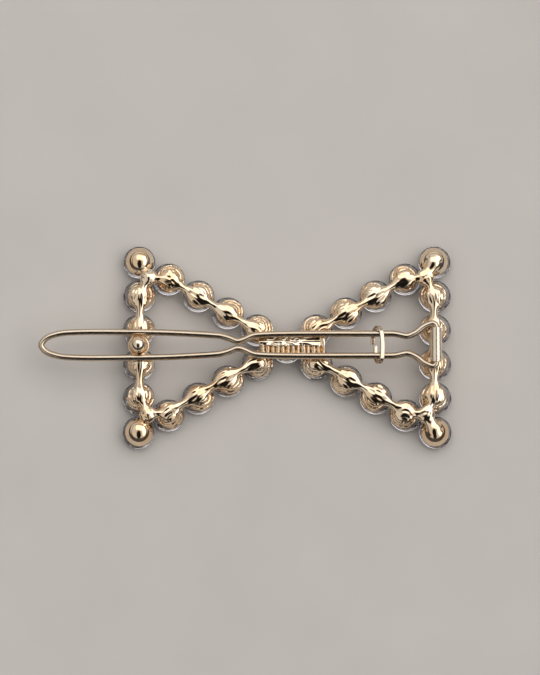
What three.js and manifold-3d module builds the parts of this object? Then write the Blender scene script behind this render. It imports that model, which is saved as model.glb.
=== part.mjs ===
// A bow-shaped rhinestone hair clip: two equilateral loops of stone cups that share a knot stone, a bridge
// bar that joins them, and a wire pin. The pin turns in a tube on one loop and closes over a ball stud on
// the other.
// Millimetres, +Z up. The clip lies on its front: the stones' tables are on z = 0 and the pin is on top.
// The origin is the centre of the knot stone's table, and the pin points along -X from its hinge tube.
import * as THREE from "three";
import { ConvexGeometry } from "three/addons/geometries/ConvexGeometry.js";
import { mergeVertices } from "three/addons/utils/BufferGeometryUtils.js";
import Module from "manifold-3d";

// Driving dimensions, in millimetres and degrees.
const SOLDER_GAP = 0.05; // glue and solder line between two pieces that are fixed together

const SIDE_STONES = 5; // pitches along each side of a loop
const ROW_ANGLE = 30; // between each of a loop's rows and the pin
const STONE_D = 4.95; // girdle diameter
const STONE_SPACE = 0.3; // between two neighbouring girdles
const FACETS = 8; // of each kind round a stone
const TABLE_R = 1.35;
const STAR_R = 1.95; // outer corners of the star facets
const CROWN_H = 0.9;
const GIRDLE_T = 0.25;
const PAVILION_ANGLE = 32.9;
const PAVILION_MID_R = 0.85; // corners where the pavilion's main facets meet the lower girdle facets

const LIP_DROP = 0.35; // from the girdle to the cup's lip
const LIP_SETBACK = 0.125; // of the cup's outer edge inside the girdle
const CUP_SHIFT = 0.1; // of each cup's outer wall towards the knot
const DOME_H = 2.2; // of a cup above its lip
const KNOT_DOME_H = 1.9;
const RECESS_CLEAR = 0.08; // around the pavilion
const RECESS_FLAT_R = 0.32; // of the flat floor under the culet

const SPINE_W = 1.2; // the rib that runs along the back of the cups
const SPINE_T = 0.9;
const SPINE_ROUND = 0.25; // along its edges
const SPINE_INSET = 0.45; // from the line of the stones towards the inside of the loop
const SPINE_RISE = 0.15; // of its top above the domes
const STUB_R = 0.7; // from a corner's junction to the corner cup

const TUBE_OD = 1.75;
const TUBE_LENGTH = 5.2;
const TUBE_CLEAR = 0.06; // between the wire and the bore
const WIRE_D = 1.0;
const WIRE_IN_TUBE = 1.2; // length of each wire end inside the tube
const WIRE_STRAIGHT = 0.08; // from the tube's mouth to the bend
const BEND_R = 0.6; // of the wire's centreline outside the tube
const CLOSED_GAP = 0.08; // between the closed pin and the spine on the catch side
const LOOP_REACH = 14.85; // of the pin's end past the catch column
const TIP_LENGTH = 5.0; // of the pin's oval end
const LEG_HALF = 1.5; // half the distance between the two legs over the bridge
const LEG_SPREAD = 1.12; // the same at the keeper, as a multiple
const WAIST_HALF = 1.33; // at the narrow place before the hinge
const WAIST_FROM_TUBE = 4.4; // along the pin from the hinge's axis
const SHOULDER_FROM_TUBE = 6.6; // to where the legs are straight again
const PINCH_PAST_BRIDGE = 3.0; // from the catch side's waist cup to where the legs nearly meet
const PINCH_GAP = 0.1; // between the legs there
const FLARE_LENGTH = 4.0; // from the pinch to where the legs are as far apart as over the bridge

const BALL_D = 2.55;
const BALL_INSET = 0.07; // of the stud inside the line of the stones
const BALL_PASS = 0.18; // from the ball to each leg as the pin goes over it
const STEM_D = 1.0;
const STEM_LENGTH = 0.9;
const BOSS_R = 1.7;
const BOSS_T = 1.3;
const BOSS_RISE = 0.03; // above the spine

const KEEPER_X = 13.9;
const KEEPER_WIDTH = 0.75;
const KEEPER_T = 0.33;
const KEEPER_CLEAR = 0.05; // between the band's faces and the legs
const KEEPER_PLAY = 0.4; // inside the band, beyond the legs
const KEEPER_SLIT = 0.15; // between its two ends
const KEEPER_LEAN = 24; // of the band from square to the legs

const BAR_LEFT = 0.35; // past the waist cup on the catch side
const BAR_RIGHT = 1.3; // past the waist cup on the hinge side
const BAR_FRONT = -1.6;
const BAR_BACK = 2.0;
const BAR_BASE_T = 0.7;
const BAR_TOP_T = 0.2; // of the ridge and ribs above the base
const BAR_STEP = 0.05; // from the base's edge to the ridge and ribs
const BAR_BELOW_PIN = 0.09;
const RIDGE_FRONT = 0.1;
const RIB_COUNT = 12;
const RIB_WIDTH = 0.5;

// How finely the round pieces are divided.
const CUP_SEGMENTS = 14;
const DOME_STEPS = 3;
const BALL_SEGMENTS = 20;
const BALL_STEPS = 8;
const TUBE_SEGMENTS = 24;
const WIRE_STEPS = 130;
const WIRE_SIDES = 5;
const BEND_STEPS = 3;
const KEEPER_STEPS = 8;
const ROD_SIDES = 8;
const EDGE_STEPS = 2;
const WELD = 1e-4; // vertices closer than this are one

const DEG = Math.PI / 180;
const STONE_R = STONE_D / 2;
const WIRE_R = WIRE_D / 2;
const TUBE_R = TUBE_OD / 2;
const BALL_R = BALL_D / 2;
const PITCH = STONE_D + STONE_SPACE;
const ROW_STEP = [PITCH * Math.cos(ROW_ANGLE * DEG), PITCH * Math.sin(ROW_ANGLE * DEG)];
const COLUMN_X = SIDE_STONES * ROW_STEP[0];
const PAVILION_SLOPE = Math.tan(PAVILION_ANGLE * DEG);
const GIRDLE_BACK = CROWN_H + GIRDLE_T;
const LIP_Z = GIRDLE_BACK + LIP_DROP;
const CUP_R = STONE_R - LIP_SETBACK;
const CULET_Z = GIRDLE_BACK + STONE_R * PAVILION_SLOPE;
const SPINE_TOP = LIP_Z + DOME_H + SPINE_RISE;
const TUBE_X = COLUMN_X;
const TUBE_Z = SPINE_TOP + SOLDER_GAP + TUBE_R;
const CATCH_X = BALL_INSET - COLUMN_X;

const wasm = await Module();
wasm.setup();

const GOLD = { color: 0xe6c79c, roughness: 0.12, metalness: 1 };
const CRYSTAL = { color: 0xe9e6ee, roughness: 0.05, metalness: 0 };

// three.js geometry as a manifold-3d solid, and back.
function solidOf(geometry) {
  const bare = geometry.index ? geometry.toNonIndexed() : geometry.clone();
  bare.deleteAttribute("normal");
  bare.deleteAttribute("uv");
  const merged = mergeVertices(bare, WELD);
  return new wasm.Manifold(new wasm.Mesh({
    numProp: 3,
    vertProperties: merged.attributes.position.array,
    triVerts: new Uint32Array(merged.index.array),
  }));
}

function geometryOf(solid) {
  const mesh = solid.getMesh();
  const geometry = new THREE.BufferGeometry();
  geometry.setAttribute("position", new THREE.BufferAttribute(new Float32Array(mesh.vertProperties), 3));
  geometry.setIndex(new THREE.BufferAttribute(new Uint32Array(mesh.triVerts), 1));
  const flat = geometry.toNonIndexed();
  flat.computeVertexNormals();
  return flat;
}

const joined = (solids) => solids.reduce((a, b) => a.add(b));

// A body turned about a vertical axis at (x, y), from [radius, z] points that run from its bottom to its top.
function turned(profile, x, y, segments = CUP_SEGMENTS) {
  const points = profile.map(([r, z]) => new THREE.Vector2(r, z));
  return solidOf(new THREE.LatheGeometry(points, segments).rotateX(90 * DEG).translate(x, y, 0));
}

function rod(from, to, radius) {
  const along = new THREE.Vector3().subVectors(to, from);
  const axis = new THREE.Vector3(0, 1, 0);
  const turn = new THREE.Quaternion().setFromUnitVectors(axis, along.clone().normalize());
  const geometry = new THREE.CylinderGeometry(radius, radius, along.length(), ROD_SIDES);
  const middle = new THREE.Vector3().addVectors(from, to).multiplyScalar(0.5);
  return solidOf(geometry.applyQuaternion(turn).translate(middle.x, middle.y, middle.z));
}

function box(low, high) {
  const size = high.map((v, i) => v - low[i]);
  const middle = high.map((v, i) => (v + low[i]) / 2);
  return solidOf(new THREE.BoxGeometry(...size).translate(...middle));
}

// Stone places round one loop, in order from the upper waist cup. Side is -1 on the catch side and 1 on the
// hinge side, here and below.
function loopPlaces(side) {
  const places = [];
  for (let k = 1; k <= SIDE_STONES; k++) {
    places.push([side * k * ROW_STEP[0], k * ROW_STEP[1]]);
  }
  for (let k = 1; k < SIDE_STONES; k++) {
    places.push([side * COLUMN_X, (SIDE_STONES / 2 - k) * PITCH]);
  }
  for (let k = SIDE_STONES; k >= 1; k--) {
    places.push([side * k * ROW_STEP[0], -k * ROW_STEP[1]]);
  }
  return places;
}

const isCorner = (index) => index === SIDE_STONES - 1 || index === 2 * SIDE_STONES - 1;

// A cup's outer dome. It leans towards the knot, so a little more of each stone shows on the outer side.
function dome(place, height, grow = 0) {
  const profile = [[0, LIP_Z - grow]];
  for (let i = 0; i <= DOME_STEPS; i++) {
    const angle = (i / DOME_STEPS) * 90 * DEG;
    profile.push([(CUP_R + grow) * Math.cos(angle), LIP_Z + (height + grow) * Math.sin(angle)]);
  }
  profile[profile.length - 1][0] = 0;
  return turned(profile, place[0] - Math.sign(place[0]) * CUP_SHIFT, place[1]);
}

// The space that a stone's pavilion needs inside its cup.
function recess(place) {
  const floor = CULET_Z + RECESS_CLEAR;
  const radiusAt = (z) => (CULET_Z - z) / PAVILION_SLOPE + RECESS_CLEAR;
  const mouth = [radiusAt(GIRDLE_BACK), GIRDLE_BACK];
  return turned([[0, GIRDLE_BACK], mouth, [RECESS_FLAT_R, floor], [0, floor]], place[0], place[1]);
}

// The junction that a corner's cup hangs from: the middle of the corner stone and its two neighbours.
function junction([x, y], side) {
  const centre = new THREE.Vector2((side * COLUMN_X * 2) / 3, 0);
  const inward = centre.sub(new THREE.Vector2(x, y)).normalize();
  return new THREE.Vector2(x, y).addScaledVector(inward, PITCH / Math.sqrt(3));
}

// The spine's centreline round a loop: inset along the stones, turning at a junction short of each corner.
function spineLine(side) {
  const places = loopPlaces(side);
  const inset = [SPINE_INSET * Math.sin(ROW_ANGLE * DEG), SPINE_INSET * Math.cos(ROW_ANGLE * DEG)];
  const onRow = ([x, y]) => new THREE.Vector2(x + side * inset[0], y - Math.sign(y) * inset[1]);
  const onColumn = ([x, y]) => new THREE.Vector2(x - side * SPINE_INSET, y);
  const upper = SIDE_STONES - 1;
  const lower = upper + SIDE_STONES;
  return [
    onRow(places[0]),
    onRow(places[upper - 1]),
    junction(places[upper], side),
    onColumn(places[upper + 1]),
    onColumn(places[lower - 1]),
    junction(places[lower], side),
    onRow(places[lower + 1]),
    onRow(places[places.length - 1]),
  ];
}

// A closed outline moved sideways by a distance, with its corners mitred.
function offsetLine(points, distance) {
  return points.map((point, i) => {
    const before = points[(i + points.length - 1) % points.length];
    const after = points[(i + 1) % points.length];
    const a = new THREE.Vector2().subVectors(point, before).normalize();
    const b = new THREE.Vector2().subVectors(after, point).normalize();
    const mitre = new THREE.Vector2(-(a.y + b.y), a.x + b.x).normalize();
    return point.clone().addScaledVector(mitre, distance / (mitre.y * a.x - mitre.x * a.y));
  });
}

// The spine as one flat rounded rib, swollen by grow where another piece is cut to clear it.
function spine(side, grow) {
  const half = side * (SPINE_W / 2 + grow - SPINE_ROUND); // the line runs clockwise on the hinge side only
  const line = spineLine(side);
  const outline = new THREE.Shape(offsetLine(line, half));
  outline.holes.push(new THREE.Path(offsetLine(line, -half).reverse()));
  const geometry = new THREE.ExtrudeGeometry(outline, {
    depth: SPINE_T + 2 * (grow - SPINE_ROUND),
    bevelSize: SPINE_ROUND,
    bevelThickness: SPINE_ROUND,
    bevelSegments: EDGE_STEPS,
  });
  return solidOf(geometry.translate(0, 0, SPINE_TOP - SPINE_T - grow + SPINE_ROUND));
}

// A rod that falls from a junction, where it is level with the spine, into the corner's cup.
function cornerStub(place, side) {
  const from = junction(place, side);
  const high = new THREE.Vector3(from.x, from.y, SPINE_TOP - STUB_R);
  return rod(high, new THREE.Vector3(place[0], place[1], LIP_Z + STUB_R), STUB_R);
}

const disc = (radius, low, high) => turned([[0, low], [radius, low], [radius, high], [0, high]], CATCH_X, 0);

function loopCasting(side) {
  const places = loopPlaces(side);
  const stubs = places.filter((_, index) => isCorner(index)).map((place) => cornerStub(place, side));
  const domes = places.map((place) => dome(place, DOME_H));
  const recesses = joined(places.map(recess));
  const body = joined([spine(side, 0), ...domes, ...stubs]);
  if (side > 0) return body.subtract(recesses);
  const boss = disc(BOSS_R, SPINE_TOP - BOSS_T, SPINE_TOP + BOSS_RISE);
  const bore = disc(STEM_D / 2 + SOLDER_GAP, SPINE_TOP - STEM_LENGTH - SOLDER_GAP, TUBE_Z);
  return body.add(boss).subtract(recesses).subtract(bore);
}

const knotCup = () => dome([0, 0], KNOT_DOME_H).subtract(recess([0, 0]));

// A round brilliant, table down: table, star, bezel and upper girdle facets, a faceted girdle, the pavilion.
function stoneGeometry([x, y]) {
  const points = [];
  const facet = (360 / FACETS) * DEG;
  const at = (radius, angle, z) => {
    points.push(new THREE.Vector3(x + radius * Math.cos(angle), y + radius * Math.sin(angle), z));
  };
  const halfTurn = Math.cos(facet / 2);
  const starZ = (CROWN_H * (STAR_R * halfTurn - TABLE_R)) / (STONE_R - TABLE_R);
  for (let angle = 0, k = 0; k < FACETS; k++, angle += facet) {
    const between = angle + facet / 2;
    at(TABLE_R, angle, 0);
    at(STAR_R, between, starZ);
    at(PAVILION_MID_R, between, CULET_Z - PAVILION_MID_R * halfTurn * PAVILION_SLOPE);
    for (const z of [CROWN_H, GIRDLE_BACK]) {
      at(STONE_R, angle, z);
      at(STONE_R, between, z);
    }
  }
  points.push(new THREE.Vector3(x, y, CULET_Z));
  return new ConvexGeometry(points);
}

// Height of the closed pin's centreline: that of the tube at the hinge, and just over the spine at the catch.
function pinZ(x) {
  const low = SPINE_TOP + CLOSED_GAP + WIRE_R;
  return TUBE_Z + ((low - TUBE_Z) * (TUBE_X - x)) / (TUBE_X - CATCH_X);
}

const sBend = (t) => t * t * (3 - 2 * t);
const levelOut = (t) => Math.sin(t * 90 * DEG);

// Points that lead from one place on a leg up to, but not onto, the next.
function leading([x, half], [nextX, nextHalf], shape) {
  return Array.from({ length: BEND_STEPS }, (_, i) => {
    const t = i / BEND_STEPS;
    return [x + (nextX - x) * t, half + (nextHalf - half) * shape(t)];
  });
}

// The wire's end inside the tube and the quarter turn outside it, as [x, half distance].
function tubeEndPoints() {
  const mouth = TUBE_LENGTH / 2;
  const bend = mouth + WIRE_STRAIGHT;
  const turn = [1, 2].map((i) => {
    const angle = (i / BEND_STEPS) * 90 * DEG;
    return [TUBE_X - BEND_R * (1 - Math.cos(angle)), bend + BEND_R * Math.sin(angle)];
  });
  return [[TUBE_X, mouth - WIRE_IN_TUBE], [TUBE_X, mouth - BEND_R], [TUBE_X, mouth], [TUBE_X, bend], ...turn];
}

// One leg's centreline as [x, half distance], from its end in the tube to the pin's far end.
function legPoints() {
  const ballHalf = BALL_R + WIRE_R + BALL_PASS;
  const keeperHalf = LEG_HALF * LEG_SPREAD;
  const bridge = -ROW_STEP[0];
  const far = CATCH_X - LOOP_REACH;
  const crest = [TUBE_X - BEND_R, TUBE_LENGTH / 2 + WIRE_STRAIGHT + BEND_R];
  const waist = [TUBE_X - WAIST_FROM_TUBE, WAIST_HALF];
  const shoulder = [TUBE_X - SHOULDER_FROM_TUBE, keeperHalf];
  const bridgeEnd = [bridge, LEG_HALF];
  const pinch = [bridge - PINCH_PAST_BRIDGE, WIRE_R + PINCH_GAP / 2];
  const flare = [pinch[0] - FLARE_LENGTH, LEG_HALF];
  const tip = Array.from({ length: BEND_STEPS }, (_, i) => {
    const angle = (i / BEND_STEPS) * 90 * DEG;
    return [far + TIP_LENGTH * (1 - Math.sin(angle)), ballHalf * Math.cos(angle)];
  });
  return [
    ...tubeEndPoints(),
    ...leading(crest, waist, sBend),
    ...leading(waist, shoulder, sBend),
    shoulder,
    [KEEPER_X, keeperHalf],
    ...leading(bridgeEnd, pinch, sBend),
    ...leading(pinch, flare, levelOut),
    ...leading(flare, [CATCH_X, ballHalf], levelOut),
    [CATCH_X, ballHalf],
    ...tip,
  ];
}

function pinWire() {
  const leg = legPoints();
  const back = leg.map(([x, half]) => new THREE.Vector3(x, half, pinZ(x)));
  const front = leg.map(([x, half]) => new THREE.Vector3(x, -half, pinZ(x))).reverse();
  const far = CATCH_X - LOOP_REACH;
  const points = [...back, new THREE.Vector3(far, 0, pinZ(far)), ...front];
  const extrudePath = new THREE.CatmullRomCurve3(points, false, "centripetal");
  const section = new THREE.Shape().absarc(0, 0, WIRE_R, 0, 360 * DEG);
  return new THREE.ExtrudeGeometry(section, { steps: WIRE_STEPS, curveSegments: WIRE_SIDES, extrudePath });
}

// A strip bent round both legs, with a slit between its ends on the underside.
function keeperBand() {
  const lean = KEEPER_LEAN * DEG;
  const innerD = WIRE_R / Math.cos(lean) + (KEEPER_WIDTH / 2) * Math.tan(lean) + KEEPER_CLEAR;
  const flat = LEG_HALF * LEG_SPREAD + WIRE_R + KEEPER_PLAY - innerD;
  const outerD = innerD + KEEPER_T;
  const slit = KEEPER_SLIT / 2;
  const strip = new THREE.Shape()
    .moveTo(slit, -outerD)
    .lineTo(flat, -outerD)
    .absarc(flat, 0, outerD, -90 * DEG, 90 * DEG, false)
    .absarc(-flat, 0, outerD, 90 * DEG, 270 * DEG, false)
    .lineTo(-slit, -outerD)
    .lineTo(-slit, -innerD)
    .absarc(-flat, 0, innerD, 270 * DEG, 90 * DEG, true)
    .absarc(flat, 0, innerD, 90 * DEG, -90 * DEG, true)
    .lineTo(slit, -innerD);
  const size = { depth: KEEPER_WIDTH, bevelEnabled: false, curveSegments: KEEPER_STEPS };
  const geometry = new THREE.ExtrudeGeometry(strip, size).translate(0, 0, -KEEPER_WIDTH / 2);
  const axes = [new THREE.Vector3(0, 1, 0), new THREE.Vector3(0, 0, 1), new THREE.Vector3(1, 0, 0)];
  return geometry.applyMatrix4(new THREE.Matrix4().makeBasis(...axes));
}

function hingeTube() {
  const [inner, outer, half] = [WIRE_R + TUBE_CLEAR, TUBE_R, TUBE_LENGTH / 2];
  const profile = [[inner, -half], [outer, -half], [outer, half], [inner, half], [inner, -half]];
  return new THREE.LatheGeometry(profile.map(([r, y]) => new THREE.Vector2(r, y)), TUBE_SEGMENTS);
}

// The ball and its stem in one piece, with z = 0 at the top of the boss that it stands on.
function catchBall() {
  const stem = STEM_D / 2;
  const centre = SOLDER_GAP + Math.sqrt(BALL_R ** 2 - stem ** 2);
  const start = -Math.acos(stem / BALL_R);
  const profile = [[0, -STEM_LENGTH], [stem, -STEM_LENGTH]];
  for (let i = 0; i <= BALL_STEPS; i++) {
    const angle = start + (i / BALL_STEPS) * (90 * DEG - start);
    profile.push([BALL_R * Math.cos(angle), centre + BALL_R * Math.sin(angle)]);
  }
  profile[profile.length - 1][0] = 0;
  return turned(profile, 0, 0, BALL_SEGMENTS);
}

// The bar's raised outline: a smooth ridge at the back, and upright ribs that run to the front like a comb.
function combOutline(left, right) {
  const spacing = (right - left - RIB_WIDTH) / (RIB_COUNT - 1);
  const [front, back] = [BAR_FRONT + BAR_STEP, BAR_BACK - BAR_STEP];
  const outline = new THREE.Shape().moveTo(right, back).lineTo(left, back);
  for (let i = 0; i < RIB_COUNT; i++) {
    const x = left + i * spacing;
    if (i > 0) outline.lineTo(x, RIDGE_FRONT);
    outline.lineTo(x, front).lineTo(x + RIB_WIDTH, front);
    if (i < RIB_COUNT - 1) outline.lineTo(x + RIB_WIDTH, RIDGE_FRONT);
  }
  return outline;
}

// A plate over the two waists and the knot cup, with pockets for what it sits on.
function bridgeBar() {
  const [left, right] = [-ROW_STEP[0] - BAR_LEFT, ROW_STEP[0] + BAR_RIGHT];
  const top = pinZ(left) - WIRE_R - BAR_BELOW_PIN;
  const base = top - BAR_TOP_T;
  const plate = box([left, BAR_FRONT, base - BAR_BASE_T], [right, BAR_BACK, base]);
  const comb = combOutline(left + BAR_STEP, right - BAR_STEP);
  const raised = new THREE.ExtrudeGeometry(comb, { depth: 2 * BAR_TOP_T, bevelEnabled: false });
  const waistCups = [-1, 1].flatMap((side) => loopPlaces(side).filter(([x]) => Math.abs(x) < PITCH));
  const below = [
    dome([0, 0], KNOT_DOME_H, SOLDER_GAP),
    ...[-1, 1].map((side) => spine(side, SOLDER_GAP)),
    ...waistCups.map((place) => dome(place, DOME_H, SOLDER_GAP)),
  ];
  return plate.add(solidOf(raised.translate(0, 0, base - BAR_TOP_T))).subtract(joined(below));
}

const clip = new THREE.Group();

function add(name, geometry, finish = GOLD, parent = clip) {
  const mesh = new THREE.Mesh(geometry, new THREE.MeshStandardMaterial(finish));
  mesh.name = name;
  parent.add(mesh);
  return mesh;
}

add("catch_loop_casting", geometryOf(loopCasting(-1)));
add("hinge_loop_casting", geometryOf(loopCasting(1)));
add("knot_cup", geometryOf(knotCup()));
add("bridge_bar", geometryOf(bridgeBar()));
add("hinge_tube", hingeTube()).position.set(TUBE_X, 0, TUBE_Z);
add("catch_ball", geometryOf(catchBall())).position.set(CATCH_X, 0, SPINE_TOP);
add("pin_wire", pinWire());

const keeper = add("keeper_band", keeperBand());
keeper.position.set(KEEPER_X, 0, pinZ(KEEPER_X));
keeper.rotation.y = KEEPER_LEAN * DEG;

add("stone_knot", stoneGeometry([0, 0]), CRYSTAL);
for (const [side, label] of [[-1, "catch"], [1, "hinge"]]) {
  loopPlaces(side).forEach((place, index) => {
    const number = String(index + 1).padStart(2, "0");
    add(`stone_${label}_${number}`, stoneGeometry(place), CRYSTAL);
  });
}

export default clip;
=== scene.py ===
"""Looks for the rhinestone hair clip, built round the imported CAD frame. Lengths here are in millimetres."""

import math

import bmesh
import bpy
import numpy as np
from mathutils import Matrix, Vector


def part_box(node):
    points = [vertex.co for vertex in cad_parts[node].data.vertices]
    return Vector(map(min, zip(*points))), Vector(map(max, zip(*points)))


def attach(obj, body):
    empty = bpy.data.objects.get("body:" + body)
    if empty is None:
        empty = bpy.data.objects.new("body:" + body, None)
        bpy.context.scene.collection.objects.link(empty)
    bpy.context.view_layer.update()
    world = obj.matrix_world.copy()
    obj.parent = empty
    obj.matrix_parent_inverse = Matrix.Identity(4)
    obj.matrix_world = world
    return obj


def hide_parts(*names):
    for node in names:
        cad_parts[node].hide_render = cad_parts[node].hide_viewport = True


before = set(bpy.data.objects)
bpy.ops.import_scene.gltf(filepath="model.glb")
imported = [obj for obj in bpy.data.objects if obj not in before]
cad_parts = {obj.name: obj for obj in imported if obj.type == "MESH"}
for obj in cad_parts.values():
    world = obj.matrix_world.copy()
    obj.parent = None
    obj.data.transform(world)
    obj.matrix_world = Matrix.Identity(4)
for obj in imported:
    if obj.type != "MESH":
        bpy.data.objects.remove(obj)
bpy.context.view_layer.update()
MM = 0.001


# ---------------------------------------------------------------- places taken from the frame

def box_mm(node):
    low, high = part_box(node)
    return np.array(low) / MM, np.array(high) / MM


def middle(node):
    low, high = box_mm(node)
    return (low + high) / 2


SIDES = {"catch": -1, "hinge": 1}
LOOP_CUPS = 14
STONES = {
    side: [middle(f"stone_{side}_{n:02d}")[:2] for n in range(1, LOOP_CUPS + 1)] for side in SIDES
}
CORNERS = (4, 9)  # places in a loop's list that are its two outer corners
KNOT = middle("stone_knot")[:2]
PITCH = float(np.linalg.norm(STONES["hinge"][1] - STONES["hinge"][0]))
STONE_R = float((box_mm("stone_knot")[1] - box_mm("stone_knot")[0])[0] / 2)
CULET_Z = float(box_mm("stone_knot")[1][2])
LIP_Z = float(box_mm("hinge_loop_casting")[0][2])
SPINE_TOP = float(box_mm("hinge_loop_casting")[1][2])
TUBE = middle("hinge_tube")
TUBE_HALF = float((box_mm("hinge_tube")[1] - box_mm("hinge_tube")[0])[1] / 2)
TUBE_R = float((box_mm("hinge_tube")[1] - box_mm("hinge_tube")[0])[2] / 2)
BALL = middle("catch_ball")[:2]
BALL_R = float((box_mm("catch_ball")[1] - box_mm("catch_ball")[0])[0] / 2)
BALL_TOP = float(box_mm("catch_ball")[1][2])
BAR_LOW, BAR_HIGH = box_mm("bridge_bar")
KEEPER = middle("keeper_band")
PIN_LOW = box_mm("pin_wire")[0]


# ---------------------------------------------------------------- solids described by a distance field

GRID = 0.113  # spacing of the grid that a field is meshed on
FAR = 3.0  # a field's value where nothing is near


def smooth_min(a, b, blend):
    near = np.maximum(blend - np.abs(a - b), 0) / blend
    return np.minimum(a, b) - near * near * blend / 4


def smooth_max(a, b, blend):
    return -smooth_min(-a, -b, blend)


def ellipsoid(p, centre, radii):
    scaled = (p - centre) / radii
    length = np.linalg.norm(scaled, axis=1)
    return (length - 1) * min(radii)


def tapered_rod(p, a, b, radius_a, radius_b, waist=None, flat=1.0):
    """A rod from a to b whose radius goes from radius_a to radius_b, by way of waist at its middle."""
    a, b = np.array(a, float), np.array(b, float)
    along = b - a
    t = np.clip((p - a) @ along / (along @ along), 0, 1)
    radius = radius_a + (radius_b - radius_a) * t
    if waist is not None:
        radius = waist + (radius - waist) * np.cos(math.pi * t) ** 2
    offset = p - a - t[:, None] * along
    offset[:, 2] /= flat
    return np.linalg.norm(offset, axis=1) - radius


def rounded_box(p, low, high, radius):
    centre, half = (low + high) / 2, (high - low) / 2 - radius
    q = np.abs(p - centre) - half
    return np.linalg.norm(np.maximum(q, 0), axis=1) + np.minimum(q.max(axis=1), 0) - radius


def swirl(p, seed):
    """Slow, shallow waves of cast metal, from -1 to 1."""
    x, y, z = p.T
    a = np.sin(1.9 * x + 1.1 * y + 2.3 * seed) * np.sin(1.3 * z - 1.7 * y + seed)
    b = np.sin(2.7 * y - 1.5 * x + 0.7 * seed) * np.cos(2.1 * x + 0.9 * z + 1.3 * seed)
    return (a + b) / 2


def net(values):
    """Surface net of a grid of field values: cell points in grid units, and quads that face outwards."""
    shape = np.array(values.shape) - 1
    total = np.zeros((*shape, 3), np.float32)
    count = np.zeros(shape, np.float32)
    edges = []
    for axis in range(3):
        first = np.moveaxis(values, axis, 0)[:-1]
        second = np.moveaxis(values, axis, 0)[1:]
        crossing = (first < 0) != (second < 0)
        gap = np.where(crossing, first - second, 1)
        share = np.where(crossing, first / gap, 0)
        crossing, share = np.moveaxis(crossing, 0, axis), np.moveaxis(share, 0, axis)
        start = np.moveaxis(first < 0, 0, axis)
        others = [i for i in range(3) if i != axis]
        for shift in ((0, 0), (0, 1), (1, 0), (1, 1)):
            cut = [slice(None)] * 3
            for other, s in zip(others, shift):
                cut[other] = slice(s, shape[other] + s)
            hit = crossing[tuple(cut)]
            count += hit
            total[..., axis] += np.where(hit, share[tuple(cut)], 0)
            for other, s in zip(others, shift):
                total[..., other] += np.where(hit, s, 0)
        edges.append((axis, others, crossing, start))
    used = count > 0
    index = np.full(shape, -1)
    index[used] = np.arange(used.sum())
    points = total[used] / count[used][:, None] + np.argwhere(used)
    quads = []
    for axis, others, crossing, start in edges:
        at = np.argwhere(crossing)
        inner = np.all([(at[:, o] > 0) & (at[:, o] < shape[o]) for o in others], axis=0)
        at = at[inner]
        corners = []
        for shift in ((1, 1), (0, 1), (0, 0), (1, 0)):
            cell = at.copy()
            for other, s in zip(others, shift):
                cell[:, other] -= s
            corners.append(index[tuple(cell.T)])
        quad = np.array(corners).T
        outward = start[tuple(at.T)]
        if axis == 1:
            outward = ~outward
        quad[~outward] = quad[~outward][:, ::-1]
        quads.append(quad)
    return points, np.concatenate(quads)


def field_mesh(name, field, low, high, grid=GRID):
    """Meshes a field inside a box, then moves every point onto the exact surface."""
    low = np.array(low, float) - 2 * grid
    size = np.ceil((np.array(high) + 2 * grid - low) / grid).astype(int) + 1
    steps = np.indices(size).reshape(3, -1).T
    values = field(low + steps * grid).reshape(size)
    points, quads = net(values)
    points = low + points * grid
    reach = 0.02
    for _ in range(3):
        value = field(points)
        ahead = [field(points + reach * axis) - value for axis in np.eye(3)]
        slope = np.stack(ahead, axis=1) / reach
        steep = np.maximum((slope**2).sum(axis=1), 0.2)
        points = points - np.clip(value / steep, -grid, grid)[:, None] * slope
    return mesh_object(name, points, quads)


# ---------------------------------------------------------------- meshes

def mesh_object(name, points, faces):
    mesh = bpy.data.meshes.new(name)
    mesh.from_pydata((np.array(points) * MM).tolist(), [], [list(map(int, f)) for f in faces])
    mesh.validate()
    mesh.shade_smooth()
    made = bpy.data.objects.new(name, mesh)
    bpy.context.scene.collection.objects.link(made)
    return made


def swept(name, path, section, closed=False, up=(0, 0, 1)):
    """Sweeps a closed [across, up] section along a path, keeping it upright, with flat ends."""
    path, section, up = np.array(path, float), np.array(section, float), np.array(up, float)
    tangent = np.gradient(path, axis=0)
    if closed:
        tangent = np.roll(path, -1, 0) - np.roll(path, 1, 0)
    tangent /= np.linalg.norm(tangent, axis=1)[:, None]
    across = np.cross(tangent, up)
    across /= np.linalg.norm(across, axis=1)[:, None]
    upright = np.cross(across, tangent)
    sides = len(section)
    points = path[:, None] + across[:, None] * section[:, 0:1] + upright[:, None] * section[:, 1:2]
    rings = len(path) if closed else len(path) - 1
    faces = []
    for i in range(rings):
        for k in range(sides):
            a, b = i * sides + k, i * sides + (k + 1) % sides
            shift = ((i + 1) % len(path) - i) * sides
            faces.append((a, b, b + shift, a + shift))
    if not closed:
        last = (len(path) - 1) * sides
        faces.append(tuple(range(sides))[::-1])
        faces.append(tuple(last + k for k in range(sides)))
    made = mesh_object(name, points.reshape(-1, 3), faces)
    fix_normals(made)
    return made


def fix_normals(made):
    work = bmesh.new()
    work.from_mesh(made.data)
    bmesh.ops.recalc_face_normals(work, faces=work.faces)
    work.to_mesh(made.data)
    work.free()


def circle(radius, count):
    turn = np.arange(count) * 2 * math.pi / count
    return np.stack([radius * np.cos(turn), radius * np.sin(turn)], axis=1)


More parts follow.
